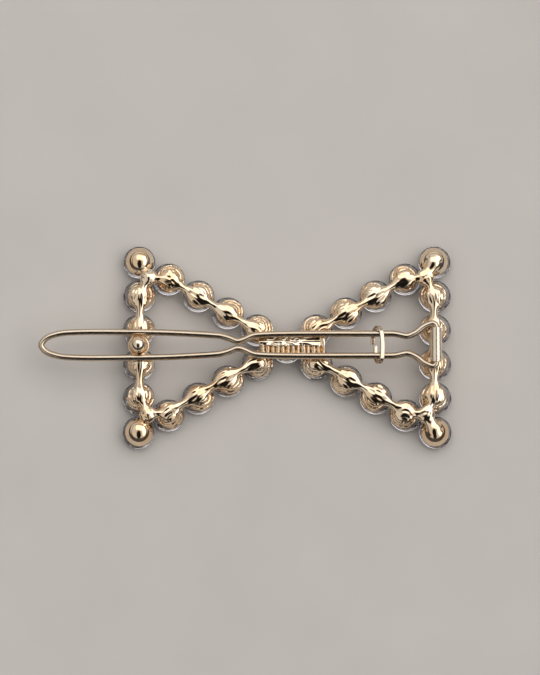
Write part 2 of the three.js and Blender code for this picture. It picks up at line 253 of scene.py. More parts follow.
def spline(points, per_span=12):
    """A centripetal Catmull-Rom curve through the points, as the CAD wire has."""
    points = np.array(points, float)
    padded = np.vstack([2 * points[0] - points[1], points, 2 * points[-1] - points[-2]])
    out = []
    for i in range(1, len(padded) - 2):
        p0, p1, p2, p3 = padded[i - 1 : i + 3]
        spans = ((p0, p1), (p1, p2), (p2, p3))
        d0, d1, d2 = (max(np.linalg.norm(b - a) ** 0.5, 1e-4) for a, b in spans)
        m1 = ((p1 - p0) / d0 - (p2 - p0) / (d0 + d1) + (p2 - p1) / d1) * d1
        m2 = ((p2 - p1) / d1 - (p3 - p1) / (d1 + d2) + (p3 - p2) / d2) * d1
        for t in np.arange(per_span) / per_span:
            a, b = 2 * t**3 - 3 * t**2 + 1, t**3 - 2 * t**2 + t
            out.append(a * p1 + b * m1 + (1 - a) * p2 + (t**3 - t**2) * m2)
    out.append(padded[-2])
    return np.array(out)


# ---------------------------------------------------------------- materials

def material(name):
    made = bpy.data.materials.new(name)
    made.use_nodes = True
    return made, made.node_tree, made.node_tree.nodes["Principled BSDF"]


def node(tree, kind, **values):
    made = tree.nodes.new(kind)
    for key, value in values.items():
        setattr(made, key, value)
    return made


def noise(tree, coordinates, scale, detail=3.0):
    made = node(tree, "ShaderNodeTexNoise")
    made.inputs["Scale"].default_value = scale
    made.inputs["Detail"].default_value = detail
    tree.links.new(coordinates, made.inputs["Vector"])
    return made.outputs["Fac"]


def ramp(tree, factor, stops):
    made = node(tree, "ShaderNodeValToRGB")
    line = made.color_ramp
    while len(line.elements) < len(stops):
        line.elements.new(0.5)
    for element, (place, colour) in zip(line.elements, stops):
        element.position = place
        element.color = (*colour, 1)
    tree.links.new(factor, made.inputs["Fac"])
    return made.outputs["Color"]


def spread(tree, factor, low, high, to_low, to_high):
    made = node(tree, "ShaderNodeMapRange")
    for key, value in zip(("From Min", "From Max", "To Min", "To Max"), (low, high, to_low, to_high)):
        made.inputs[key].default_value = value
    tree.links.new(factor, made.inputs["Value"])
    return made.outputs["Result"]


DRIFT_WAVES, POLISH_WAVES = 260.0, 1400.0  # of the plating's colour and polish, in waves to the metre


def plated_gold(name, pale, warm, roughness, bump, grain=900.0, hollow_shade=None):
    """Mirror plating: its colour drifts a little, its polish varies, and its surface has a faint grain.

    The last argument is (colour, z where it is full, z where it ends): painted shade, a darker, warmer gold
    lower down that stands in for the shade and gold-on-gold reflection in hollows."""
    made, tree, shader = material(name)
    place = node(tree, "ShaderNodeTexCoord").outputs["Object"]
    drift = noise(tree, place, DRIFT_WAVES, 2.0)
    colour = ramp(tree, drift, [(0.35, warm), (0.65, pale)])
    # painted shade: below the given height the colour is mixed towards a darker, warmer gold, for the shade
    # in hollows
    if hollow_shade:
        shade_colour, full, none = hollow_shade
        split = node(tree, "ShaderNodeSeparateXYZ")
        tree.links.new(place, split.inputs[0])
        share = spread(tree, split.outputs[2], full * MM, none * MM, 1, 0)
        mix = node(tree, "ShaderNodeMixRGB")
        # the painted shade colour of the hollows, drifting a little towards the warm gold
        thick = ramp(tree, drift, [(0.3, shade_colour), (0.8, warm)])
        for socket, source in zip(mix.inputs, (share, colour, thick)):
            tree.links.new(source, socket)
        colour = mix.outputs["Color"]
    tree.links.new(colour, shader.inputs["Base Color"])
    polish = noise(tree, place, POLISH_WAVES, 4.0)
    tree.links.new(spread(tree, polish, 0.3, 0.7, *roughness), shader.inputs["Roughness"])
    relief = node(tree, "ShaderNodeBump")
    relief.inputs["Strength"].default_value = bump
    relief.inputs["Distance"].default_value = 0.02 * MM
    tree.links.new(noise(tree, place, grain, 3.0), relief.inputs["Height"])
    tree.links.new(relief.outputs["Normal"], shader.inputs["Normal"])
    shader.inputs["Metallic"].default_value = 1
    return made


def crystal_glass():
    made, tree, shader = material("crystal_glass")
    place = node(tree, "ShaderNodeTexCoord").outputs["Object"]
    tint = ramp(tree, noise(tree, place, 300.0), [(0.3, (0.93, 0.91, 0.94)), (0.7, (0.98, 0.97, 0.98))])
    tree.links.new(tint, shader.inputs["Base Color"])
    wear = spread(tree, noise(tree, place, 2500.0), 0.4, 0.8, 0.0, 0.05)
    tree.links.new(wear, shader.inputs["Roughness"])
    shader.inputs["Transmission Weight"].default_value = 1
    shader.inputs["IOR"].default_value = 1.55
    return made


def foil():
    made, tree, shader = material("foil_backing")
    place = node(tree, "ShaderNodeTexCoord").outputs["Object"]
    tint = ramp(tree, noise(tree, place, 500.0), [(0.3, (0.80, 0.79, 0.80)), (0.7, (0.90, 0.89, 0.90))])
    tree.links.new(tint, shader.inputs["Base Color"])
    haze = spread(tree, noise(tree, place, 3000.0), 0.3, 0.8, 0.04, 0.16)
    tree.links.new(haze, shader.inputs["Roughness"])
    shader.inputs["Metallic"].default_value = 1
    return made


CAST_GOLD = plated_gold(
    "cast_gold", pale=(0.93, 0.78, 0.60), warm=(0.89, 0.65, 0.42), roughness=(0.04, 0.12), bump=0.3
)
BAR_GOLD = plated_gold(
    "bar_gold", pale=(0.97, 0.87, 0.74), warm=(0.94, 0.76, 0.55), roughness=(0.08, 0.16), bump=0.3,
    # painted shade: the bar's hollows between its ribs turn a darker, warmer gold, fully below z 3.45 and not
    # at all above 3.85
    hollow_shade=((0.82, 0.46, 0.09), 3.45, 3.85),
)
WIRE_GOLD = plated_gold(
    "wire_gold", pale=(0.67, 0.57, 0.455), warm=(0.64, 0.525, 0.40), roughness=(0.16, 0.24), bump=0.25,
    grain=2600.0,
)
TUBE_GOLD = plated_gold(
    "tube_gold", pale=(0.99, 0.88, 0.73), warm=(0.97, 0.84, 0.66), roughness=(0.16, 0.24), bump=0.3,
    grain=1800.0,
)
GLASS = crystal_glass()
FOIL = foil()


def finish_piece(made, body, slot, materials, *nodes):
    for m in materials:
        made.data.materials.append(m)
    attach(made, body)
    if nodes:
        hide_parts(*nodes)


# ---------------------------------------------------------------- the cast loops

LEDGE_R, LEDGE_Z = 1.55, LIP_Z - 0.03  # where a stone's pointed back rises from the ledge behind its edge
CUP_R = 2.1
CORNER_R = 2.2
DOME_H = SPINE_TOP - LIP_Z - 0.15
CUP_SHIFT = 0.3  # of each cup towards the knot
CORNER_SHIFT = 0.12
RIB_HALF = 0.6  # half the rib's height
RIB_Z = SPINE_TOP - RIB_HALF
NECK_R = 0.58
LEAF_R = 1.36  # the rib's half width over a cup
JOINT_R = 1.2  # and where three of a corner's pieces meet
RIB_INWARD = 0.28  # of the rib from the middle of a cup, towards the loop's centre
RIB_BLEND, WEB_BLEND, LIP_ROUND = 0.3, 0.18, 0.12
RIPPLE = 0.03  # of the cast surface
CULET_ROOM = 0.13  # in a cup, past the stone's point
STREAK_DEPTH = 0.035  # of the lengthwise streaks on the rib
FOLD_SPACE, FOLD_DEPTH = 0.44, 0.06


def rib_line(side):
    """Places of the rib over a loop's cups, turning at the middle of the last three at each corner."""
    places = STONES[side]
    centre = np.mean([places[4], places[9], KNOT], axis=0)
    line = []
    for i, place in enumerate(places):
        inward = (centre - place) / np.linalg.norm(centre - place)
        if i in CORNERS:
            line.append(place + inward * PITCH / math.sqrt(3))
        else:
            line.append(place + inward * RIB_INWARD)
    return line


def cup_place(place, shift):
    return place - np.array([np.sign(place[0]) * shift, 0])


def dome_field(p, place, radius, height, seed):
    """A cup's outside: an ellipsoid standing on its lip. A seed gives it the nested folds of hand-cut wax."""
    at = np.array([*place, LIP_Z])
    shape = ellipsoid(p, at, (radius, radius, height))
    if seed is None:
        return shape
    lean = 0.25 * np.array([math.sin(2.4 * seed), math.cos(1.7 * seed)])
    out = np.linalg.norm(p[:, :2] - place - lean, axis=1)
    wander = 1.3 * np.sin(1.9 * p[:, 0] + seed) * np.cos(1.6 * p[:, 1] - 2 * seed)
    wander = wander + 0.5 * swirl(2.2 * p, seed)
    turn = 2 * math.pi * out / FOLD_SPACE + wander + seed
    folds = np.sin(turn) + 0.35 * np.sin(2 * turn)
    rise = np.clip((p[:, 2] - LIP_Z) / height, 0, 1)
    where = np.clip((out - 0.6) / 0.5, 0, 1) * np.clip(rise * 6, 0, 1)
    return shape - FOLD_DEPTH * where * folds


def recess_field(p, place):
    """The pocket that holds a stone's pointed back."""
    slope = (CULET_Z - LEDGE_Z) / LEDGE_R
    out = np.linalg.norm(p[:, :2] - place, axis=1)
    return (out - ((CULET_Z + CULET_ROOM - p[:, 2]) / slope)) * math.cos(math.atan(1 / slope))


def loop_field(side):
    places, line = STONES[side], rib_line(side)
    shifts = [CORNER_SHIFT if i in CORNERS else CUP_SHIFT for i in range(LOOP_CUPS)]
    cups = [cup_place(place, shift) for place, shift in zip(places, shifts)]
    sign = SIDES[side]
    leaf = [LEAF_R * (1 + 0.1 * math.sin(7 * k + sign) + 0.06 * sign) for k in range(LOOP_CUPS)]
    for k in CORNERS:
        leaf[k] = JOINT_R

    def field(p):
        made = np.full(len(p), FAR)
        for i, cup in enumerate(cups):
            near = np.abs(p[:, :2] - cup).max(axis=1) < PITCH
            corner = i in CORNERS
            seed = None if corner else i + 0.3 * sign
            shape = dome_field(p[near], cup, CORNER_R if corner else CUP_R, DOME_H, seed)
            made[near] = np.minimum(made[near], shape)
        for i, place in enumerate(line):
            if i + 1 < len(line):
                rib = rib_field(p, place, line[i + 1], leaf[i], leaf[i + 1])
                made = smooth_min(made, rib, RIB_BLEND)
            if i in CORNERS:
                made = smooth_min(made, web_field(p, place, cups[i], side), WEB_BLEND)
        made = made + RIPPLE * swirl(p, sign) * calm(p, cups)
        made = smooth_max(made, LIP_Z - p[:, 2], LIP_ROUND)
        for place in places:
            near = np.abs(p[:, :2] - place).max(axis=1) < STONE_R + 0.3
            made[near] = smooth_max(made[near], -recess_field(p[near], place), LIP_ROUND)
        return made

    return field


def web_field(p, place, cup, side):
    """Joins a corner's cup to the rib: up to its edge on the catch side, and over it on the hinge side."""
    if side == "catch":
        edge = cup + (place - cup) / np.linalg.norm(place - cup) * CORNER_R * 0.9
        return tapered_rod(p, (*place, RIB_Z - 0.1), (*edge, LIP_Z + 1.0), 0.95, 0.8)
    over = cup + (place - cup) * 0.12
    return tapered_rod(p, (*place, RIB_Z), (*over, RIB_Z - 0.1), 1.0, 1.15, 0.85, 0.6)


def calm(p, cups):
    """0 on the two corner cups, which are polished full, and 1 elsewhere."""
    out = np.min([np.linalg.norm(p[:, :2] - cups[i], axis=1) for i in CORNERS], axis=0)
    return np.clip((out - CORNER_R) / 0.5, 0, 1)


def rib_field(p, a, b, leaf_a, leaf_b):
    """A rib of even height from a to b: wide over the cups at its ends, and a narrow neck between them."""
    out = np.full(len(p), FAR)
    reach = 2
    near = (p[:, :2] > np.minimum(a, b) - reach).all(axis=1)
    near &= (p[:, :2] < np.maximum(a, b) + reach).all(axis=1)
    q = p[near]
    along = b - a
    length = np.linalg.norm(along)
    raw = (q[:, :2] - a) @ along / length**2
    t = np.clip(raw, 0, 1)
    side = ((q[:, 0] - a[0]) * along[1] - (q[:, 1] - a[1]) * along[0]) / length
    beyond = (raw - t) * length
    swell = np.cos(math.pi * t) ** 2
    half = NECK_R + (leaf_a + (leaf_b - leaf_a) * t - NECK_R) * swell
    high = RIB_HALF * (1 - 0.12 * (1 - swell))
    ratio = np.sqrt((np.hypot(side, beyond) / half) ** 2 + ((q[:, 2] - RIB_Z) / high) ** 2)
    streaks = np.sin(8.5 * side + 1.6 * np.sin(2.2 * q[:, 0] + a[1]) + 2 * a[0])
    out[near] = (ratio - 1) * RIB_HALF - STREAK_DEPTH * streaks * (0.3 + 0.7 * swell)
    return out


def make_loop(side):
    low, high = box_mm(f"{side}_loop_casting")
    field = loop_field(side)
    if side == "catch":
        field = with_boss(field)
    else:
        field = with_saddle(field)
    made = field_mesh(f"{side}_loop_cast", field, low - [0.2, 0.2, 0], high + [0.2, 0.2, 0.1])
    finish_piece(made, "frame", "gold_plate", [CAST_GOLD], f"{side}_loop_casting")


BOSS_R, BOSS_HALF, BOSS_DOWN = 1.62, 0.72, 0.75  # the pad's middle lies this far below the rib's top
GROOVE_R, GROOVE_SIZE = 1.12, 0.2
STEM_HOLE_R, STEM_HOLE_DEPTH = 0.55, 0.9


def with_boss(field):
    """Adds the round pad that the ball stud stands on."""
    def bossed(p):
        out = np.linalg.norm(p[:, :2] - BALL, axis=1)
        pad = np.maximum(out - BOSS_R, np.abs(p[:, 2] - SPINE_TOP + BOSS_DOWN) - BOSS_HALF)
        made = smooth_min(field(p), pad, 0.3)
        groove = np.hypot(out - GROOVE_R, p[:, 2] - SPINE_TOP - 0.02) - GROOVE_SIZE
        hole = np.maximum(out - STEM_HOLE_R, SPINE_TOP - STEM_HOLE_DEPTH - p[:, 2])
        return smooth_max(smooth_max(made, -groove, 0.08), -hole, 0.05)
    return bossed


SADDLE_HALF_WIDTH, SADDLE_HALF_LENGTH = 0.85, 1.9
SADDLE_FLOOR, SADDLE_RISE = 2.6, 0.3  # where the solder starts, and how far it stands above the rib
TUBE_ROOM = 0.02


def with_saddle(field):
    """Adds the solder that holds the hinge tube on its column."""
    low = np.array([TUBE[0] - SADDLE_HALF_WIDTH, -SADDLE_HALF_LENGTH, SADDLE_FLOOR])
    high = np.array([TUBE[0] + SADDLE_HALF_WIDTH, SADDLE_HALF_LENGTH, SPINE_TOP + SADDLE_RISE])

    def saddled(p):
        lump = rounded_box(p, low, high, 0.4)
        tube = np.hypot(p[:, 0] - TUBE[0], p[:, 2] - TUBE[2]) - TUBE_R - TUBE_ROOM
        return smooth_max(smooth_min(field(p), lump, 0.5), -tube, 0.05)
    return saddled


KNOT_CUP_R, KNOT_CUP_H, KNOT_SEED = 2.2, 1.9, 3
KNOT_GRID, BAR_GRID = 0.11, 0.08


def make_knot_cup():
    def field(p):
        made = dome_field(p, KNOT, KNOT_CUP_R, KNOT_CUP_H, KNOT_SEED)
        made = made + RIPPLE / 2 * swirl(p, KNOT_SEED)
        made = smooth_max(made, LIP_Z - p[:, 2], LIP_ROUND)
        return smooth_max(made, -recess_field(p, KNOT), LIP_ROUND)
    low, high = box_mm("knot_cup")
    made = field_mesh("knot_cup_cast", field, low, high, KNOT_GRID)
    finish_piece(made, "frame", "gold_plate", [CAST_GOLD], "knot_cup")


BAR_RIBS, BAR_RIB_HALF = 13, 0.15
FIRST_RIB, LAST_RIB = 1.15, 0.25  # distance of the row's ends from the bar's ends
RIDGE_FRONT = -0.08  # where the ridge starts, in y
PLATE_DOWN = 0.6  # from the bar's top to the plate between its ribs
END_SLANT = 0.3  # of the left end, per millimetre towards the front


def melted_ridge(p, q):
    """The bar's back: it slopes down, with streaks along it and slow waves. In q its left end is upright."""
    low = np.array([BAR_LOW[0], RIDGE_FRONT, BAR_LOW[2]])
    high = np.array([BAR_HIGH[0], BAR_HIGH[1] - 0.05, BAR_HIGH[2]])
    x, y = p[:, 0], p[:, 1]
    ridge = rounded_box(q, low, high, 0.2)
    ridge += 0.12 * np.clip(y - RIDGE_FRONT, 0, None)
    ridge += 0.025 * np.sin(9.5 * y + 0.9 * np.sin(1.1 * x) + 0.3 * x)
    ridge += 0.06 * np.sin(2.7 * x + 2.4 * np.sin(2.6 * y) + 1.7 * np.sin(0.8 * x))
    return ridge


def upright_rib(p, x, half):
    low = np.array([x - half, BAR_LOW[1] + 0.05, BAR_LOW[2]])
    high = np.array([x + half, RIDGE_FRONT + 0.3, BAR_HIGH[2] - 0.02])
    return rounded_box(p, low, high, 0.1)


def bar_field(p):
    left, right = BAR_LOW[0], BAR_HIGH[0]
    q = p.copy()
    q[:, 0] -= END_SLANT * (BAR_HIGH[1] - p[:, 1]) * (p[:, 0] < 0)
    plate_top = np.array([right, BAR_HIGH[1], BAR_HIGH[2] - PLATE_DOWN])
    made = smooth_min(rounded_box(q, BAR_LOW, plate_top, 0.12), melted_ridge(p, q), 0.12)
    for k, x in enumerate(np.linspace(left + FIRST_RIB, right - LAST_RIB, BAR_RIBS)):
        half = BAR_RIB_HALF * (1 + 0.25 * math.sin(2.6 * k))
        made = smooth_min(made, upright_rib(p, x, half), 0.08)
    solder = ellipsoid(p, np.array([right - 0.35, 0.9, BAR_HIGH[2] - 0.45]), (0.42, 1.5, 0.5))
    return smooth_min(made, solder, 0.2) + 0.012 * swirl(2 * p, 5)


def make_bar():
    """The bridge bar: a melted-looking ridge at the back and a row of upright ribs in front of it."""
    made = field_mesh("bridge_bar_cast", bar_field, BAR_LOW - 0.1, BAR_HIGH + 0.1, BAR_GRID)
    finish_piece(made, "frame", "gold_plate", [BAR_GOLD], "bridge_bar")


# ---------------------------------------------------------------- stones

TABLE_R, STAR_R = 1.35, 1.8
RIM_R, RIM_Z = 2.2, 0.52  # where the facets of the front run out
GIRDLE_Z = 0.93  # height of the round edge's middle
STONE_SIDES, BACK_SIDES = 64, 16
ROUND_FROM_R = 2.3  # faces that reach past this belong to the round edge
EDGE_R, EDGE_H = 0.6, 0.55  # how far the stone's round edge reaches in, and half its height


def facet(work, azimuth, tilt, radius, z):
    """Cuts one facet of the front. Its plane leans by tilt from the table, through (radius, z)."""
    x, y = math.cos(azimuth), math.sin(azimuth)
    normal = Vector((x * math.sin(tilt), y * math.sin(tilt), -math.cos(tilt)))
    point = Vector((radius * x, radius * y, z)) * MM
    everything = work.verts[:] + work.edges[:] + work.faces[:]
    cut = bmesh.ops.bisect_plane(
        work, geom=everything, dist=1e-9, plane_co=point, plane_no=normal, clear_outer=True
    )
    edges = [e for e in cut["geom_cut"] if isinstance(e, bmesh.types.BMEdge)]
    if edges:
        bmesh.ops.contextual_create(work, geom=edges)


def stone_blank():
    """A stone before its front is cut: a full round edge, a flat ledge behind it, and a pointed back."""
    angles = np.radians(np.linspace(-80, 66, 12))
    profile = [(STONE_R - EDGE_R, 0)]
    for a in angles:
        profile.append((STONE_R - EDGE_R * (1 - math.cos(a)), GIRDLE_Z + EDGE_H * math.sin(a)))
    profile += [(LEDGE_R + 0.15, LEDGE_Z - 0.01), (LEDGE_R, LEDGE_Z)]
    corner = 2 * math.pi / BACK_SIDES
    turn = np.arange(STONE_SIDES) * 2 * math.pi / STONE_SIDES
    flat = math.cos(corner / 2) / np.cos(turn % corner - corner / 2)
    work = bmesh.new()
    rows = []
    for i, (r, z) in enumerate(profile):
        radius = r * (flat if i == len(profile) - 1 else np.ones(STONE_SIDES)) * MM
        ring = [(a * math.cos(t), a * math.sin(t), z * MM) for a, t in zip(radius, turn)]
        rows.append([work.verts.new(place) for place in ring])
    for low, high in zip(rows, rows[1:]):
        for k in range(STONE_SIDES):
            work.faces.new((low[k - 1], low[k], high[k], high[k - 1]))
    culet = work.verts.new((0, 0, CULET_Z * MM))
    for k in range(STONE_SIDES):
        work.faces.new((rows[-1][k - 1], rows[-1][k], culet))
    work.faces.new(rows[0][::-1])
    return work


def stone_template():
    """A round brilliant, table down, cut from a round blank. The cup hides its silvered back."""
    work = stone_blank()
    eighth = math.pi / 4
    star_z = 0.5 * (STAR_R * math.cos(eighth / 2) - TABLE_R)
    bezel = math.atan2(RIM_Z, RIM_R - TABLE_R)
    star = math.atan2(star_z, STAR_R - TABLE_R * math.cos(eighth / 2))
    upper = math.atan2(RIM_Z - star_z, RIM_R - STAR_R * math.cos(eighth / 4))
    for k in range(8):
        facet(work, k * eighth, bezel, RIM_R, RIM_Z)
        facet(work, (k + 0.5) * eighth, star, STAR_R, star_z)
        for quarter in (0.25, 0.75):
            facet(work, (k + quarter) * eighth, upper, RIM_R, RIM_Z)
    bmesh.ops.recalc_face_normals(work, faces=work.faces)
    for face in work.faces:
        face.material_index = int(face.calc_center_median().z > LEDGE_Z * MM)
        reach = max(v.co.xy.length for v in face.verts)
        face.smooth = reach > ROUND_FROM_R * MM and face.normal.z > -0.9
    mesh = bpy.data.meshes.new("stone")
    work.to_mesh(mesh)
    work.free()
    mesh.materials.append(GLASS)
    mesh.materials.append(FOIL)
    return mesh


def make_stones():
    template = stone_template()
    places = {"stone_knot": KNOT}
    for side in SIDES:
        for i, place in enumerate(STONES[side]):
            places[f"stone_{side}_{i + 1:02d}"] = place
    for name, place in places.items():
        mesh = template.copy()
        mesh.transform(Matrix.Translation((place[0] * MM, place[1] * MM, 0)))
        made = bpy.data.objects.new(name.replace("stone", "rhinestone"), mesh)
        bpy.context.scene.collection.objects.link(made)
        finish_piece(made, "frame", "crystal", [], name)


# ---------------------------------------------------------------- the pin and what moves on it

WIRE_R = 0.5
SOFT_EDGE = 0.03  # how far a sharp edge is rounded


def pin_z(x):
    """Height of the closed pin's centreline, which slopes from the tube down to the catch."""
    low = PIN_LOW[2] + WIRE_R
    return low + (TUBE[2] - low) * (x - PIN_LOW[0]) / (TUBE[0] - PIN_LOW[0])


LEG_HALF = 1.5
KEEPER_HALF = LEG_HALF * 1.12
BALL_PASS = 0.18  # between each leg and the ball
BALL_HALF = BALL_R + WIRE_R + BALL_PASS
WAIST_HALF = 1.33
PINCH_HALF = WIRE_R + 0.05
BEND_R, WIRE_STRAIGHT, TIP_LENGTH = 0.6, 0.08, 5.0
END_IN_TUBE = 1.2
WAIST_FROM_TUBE, SHOULDER_FROM_TUBE = 4.4, 6.6
PINCH_PAST_BRIDGE, FLARE_LENGTH = 3, 4


def s_bend(t):
    return t * t * (3 - 2 * t)


def level_out(t):
    return math.sin(t * math.pi / 2)


def leading(start, end, shape, steps=3):
    """Places on the way from start up to, but not onto, end."""
    return [
        (start[0] + (end[0] - start[0]) * i / steps, start[1] + (end[1] - start[1]) * shape(i / steps))
        for i in range(steps)
    ]


def leg_points():
    """One leg's centreline as (x, half distance), from its end in the tube to the far end of the pin."""
    x, mouth = TUBE[0], TUBE_HALF
    bridge = -PITCH * math.cos(math.radians(30))
    far = PIN_LOW[0] + WIRE_R
    bend = mouth + WIRE_STRAIGHT
    turns = [math.radians(a) for a in (30, 60)]
    tips = [math.radians(a) for a in (0, 30, 60)]
    waist, shoulder = (x - WAIST_FROM_TUBE, WAIST_HALF), (x - SHOULDER_FROM_TUBE, KEEPER_HALF)
    pinch = (bridge - PINCH_PAST_BRIDGE, PINCH_HALF)
    flare = (pinch[0] - FLARE_LENGTH, LEG_HALF)
    return [
        (x, mouth - END_IN_TUBE), (x, mouth - BEND_R), (x, mouth), (x, bend),
        *[(x - BEND_R * (1 - math.cos(a)), bend + BEND_R * math.sin(a)) for a in turns],
        *leading((x - BEND_R, bend + BEND_R), waist, s_bend),
        *leading(waist, shoulder, s_bend),
        shoulder, (KEEPER[0], KEEPER_HALF),
        *leading((bridge, LEG_HALF), pinch, s_bend),
        *leading(pinch, flare, level_out),
        *leading(flare, (BALL[0], BALL_HALF), level_out),
        (BALL[0], BALL_HALF),
        *[(far + TIP_LENGTH * (1 - math.sin(a)), BALL_HALF * math.cos(a)) for a in tips],
    ]


def make_pin():
    leg = leg_points()
    far = PIN_LOW[0] + WIRE_R
    points = [(x, y, pin_z(x)) for x, y in leg] + [(far, 0, pin_z(far))]
    points += [(x, -y, pin_z(x)) for x, y in reversed(leg)]
    made = swept("pin_wire_drawn", spline(points, 14), circle(WIRE_R, 28))
    finish_piece(made, "pin", "gold_plate", [WIRE_GOLD], "pin_wire")


KEEPER_LEAN = math.radians(24)
STRIP_THICK, STRIP_WIDTH, STRIP_CUT = 0.3, 0.72, 0.08
STRIP_DRIFT, STRIP_BULGE = 0.22, 0.26


def make_keeper():
    """A flat strip bent round both legs, leaning, with its two cut ends side by side on the underside."""
    low, high = box_mm("keeper_band")
    lean, thick, width = KEEPER_LEAN, STRIP_THICK, STRIP_WIDTH
    rise = (high[2] - low[2]) / 2 / math.cos(lean) - width / 2 * math.tan(lean) - thick / 2
    run = (high[1] - low[1]) / 2 - rise - thick / 2
    corner = math.pi / 2
    arc = np.linspace(-corner, corner, 16)
    flat = np.linspace(0.06, run, 8)[:-1]
    route = [(y, -rise) for y in flat]
    route += [(run + rise * math.cos(a), rise * math.sin(a)) for a in arc]
    route += [(y, rise) for y in np.linspace(run, -run, 14)[1:-1]]
    route += [(-run - rise * math.cos(a), -rise * math.sin(a)) for a in arc]
    route += [(-y, -rise) for y in flat[::-1]]
    route = np.array(route)
    drift = np.linspace(-STRIP_DRIFT, STRIP_DRIFT, len(route))
    path = np.column_stack([drift, route])
    across = route[:, 0] / (run + rise) * math.pi / 2
    path[:, 0] += STRIP_BULGE * np.cos(across) * np.sign(route[:, 1])
    half_w, half_t, cut = width / 2, thick / 2, STRIP_CUT
    section = [
        (-half_w + cut, -half_t), (half_w - cut, -half_t),
        (half_w, -half_t + cut), (half_w, half_t - cut),
        (half_w - cut, half_t), (-half_w + cut, half_t),
        (-half_w, half_t - cut), (-half_w, -half_t + cut),
    ]
    made = swept("keeper_strip", path, [(b, a) for a, b in section], up=(1, 0, 0))
    turn = Matrix.Translation(Vector(KEEPER) * MM) @ Matrix.Rotation(lean, 4, "Y")
    made.data.transform(turn)
    soften(made)
    finish_piece(made, "keeper", "gold_plate", [WIRE_GOLD], "keeper_band")


def soften(made):
    """Rounds a piece's sharp edges."""
    bevel = made.modifiers.new("edges", "BEVEL")
    bevel.width = SOFT_EDGE * MM
    bevel.segments = 2
    bevel.limit_method = "ANGLE"
    bevel.angle_limit = math.radians(30)
    bevel.harden_normals = True


TUBE_BORE_R = 0.56
SEAM_HALF, SEAM_AT = math.radians(1.6), math.radians(86)


def make_tube():
    """A barrel rolled from sheet, with its seam near the top."""
    bore, seam, start = TUBE_BORE_R, SEAM_HALF, SEAM_AT
    turn = np.linspace(start + seam, start + 2 * math.pi - seam, 60)
    ring = [(TUBE_R * math.cos(a), TUBE_R * math.sin(a)) for a in turn]
    ring += [(bore * math.cos(a), bore * math.sin(a)) for a in turn[::-1]]
    points = [(TUBE[0] + x, y, TUBE[2] + z) for y in (-TUBE_HALF, TUBE_HALF) for x, z in ring]
    count = len(ring)
    faces = [(k, (k + 1) % count, count + (k + 1) % count, count + k) for k in range(count)]
    half = count // 2
    for k in range(half - 1):
        faces.append((k, k + 1, count - 2 - k, count - 1 - k))
        faces.append(tuple(count + i for i in (k, k + 1, count - 2 - k, count - 1 - k)))
    made = mesh_object("hinge_tube_rolled", points, faces)
    fix_normals(made)
    soften(made)
    finish_piece(made, "frame", "gold_plate", [TUBE_GOLD], "hinge_tube")


NECK_OF_BALL_R, STEM_DEPTH = 0.5, 0.85


def make_ball():
    """The ball stud, turned with a straight neck that goes down into its pad."""
    centre = BALL_TOP - BALL_R
    neck, base = NECK_OF_BALL_R, SPINE_TOP - STEM_DEPTH
    profile = [(0, base), (neck, base), (neck, SPINE_TOP - 0.05)]
    start = -math.acos(neck / BALL_R) + 0.02
    for a in np.linspace(start, math.pi / 2, 40):
        profile.append((BALL_R * math.cos(a), centre + BALL_R * math.sin(a)))
    profile[-1] = (0, BALL_TOP)
    turns = 72
    points = [
        (BALL[0] + r * math.cos(a), BALL[1] + r * math.sin(a), z)
        for a in np.arange(turns) * 2 * math.pi / turns
        for r, z in profile[1:-1]
    ]
    rows = len(profile) - 2
    faces = []
    for i in range(turns):
        a, b = i * rows, (i + 1) % turns * rows
        faces += [(a + k, b + k, b + k + 1, a + k + 1) for k in range(rows - 1)]
    bottom, top = len(points), len(points) + 1
    points += [(*BALL, base), (*BALL, BALL_TOP)]
    for i in range(turns):
        a, b = i * rows, (i + 1) % turns * rows
        faces += [(bottom, b, a), (top, a + rows - 1, b + rows - 1)]
    made = mesh_object("catch_ball_turned", points, faces)
    fix_normals(made)
    finish_piece(made, "frame", "gold_plate", [CAST_GOLD], "catch_ball")


# ---------------------------------------------------------------- floor, light and camera

def make_floor():
    size, z = 3000, -0.02
    corners = [(-size, -size, z), (size, -size, z), (size, size, z), (-size, size, z)]
    floor = mesh_object("floor", corners, [(0, 1, 2, 3)])
    made, tree, shader = material("floor_paper")
    place = node(tree, "ShaderNodeTexCoord").outputs["Object"]
    tint = ramp(tree, noise(tree, place, 60.0), [(0.3, (0.64, 0.61, 0.585)), (0.7, (0.67, 0.64, 0.61))])
    tree.links.new(tint, shader.inputs["Base Color"])
    shader.inputs["Roughness"].default_value = 0.9
    see_from_below(tree, shader)
    floor.data.materials.append(made)


def see_from_below(tree, shader):
    """Makes the floor's underside clear, so that the clip's front can be looked at through it."""
    mix = node(tree, "ShaderNodeMixShader")
    behind = node(tree, "ShaderNodeNewGeometry").outputs["Backfacing"]
    clear = node(tree, "ShaderNodeBsdfTransparent").outputs[0]
    for socket, source in zip(mix.inputs, (behind, shader.outputs[0], clear)):
        tree.links.new(source, socket)
    tree.links.new(mix.outputs[0], tree.nodes["Material Output"].inputs["Surface"])


def softbox(name, azimuth, elevation, distance, size, power, colour):
    """An area light that faces the object. Azimuth 0 is to the south of it and 90 to the east."""
    a, e = math.radians(azimuth), math.radians(elevation)
    place = Vector((math.sin(a) * math.cos(e), -math.cos(a) * math.cos(e), math.sin(e))) * distance * MM
    light = bpy.data.lights.new(name, "AREA")
    light.shape = "RECTANGLE"
    light.size, light.size_y = size[0] * MM, size[1] * MM
    light.energy = power
    light.color = colour
    made = bpy.data.objects.new(name, light)
    made.location = place
    made.rotation_mode = "QUATERNION"
    made.rotation_quaternion = (-place).to_track_quat("-Z", "Y")
    bpy.context.scene.collection.objects.link(made)


def calc(tree, operation, a, b=0.0):
    made = node(tree, "ShaderNodeMath", operation=operation)
    for socket, value in zip(made.inputs, (a, b)):
        if isinstance(value, (int, float)):
            socket.default_value = value
        else:
            tree.links.new(value, socket)
    return made.outputs[0]


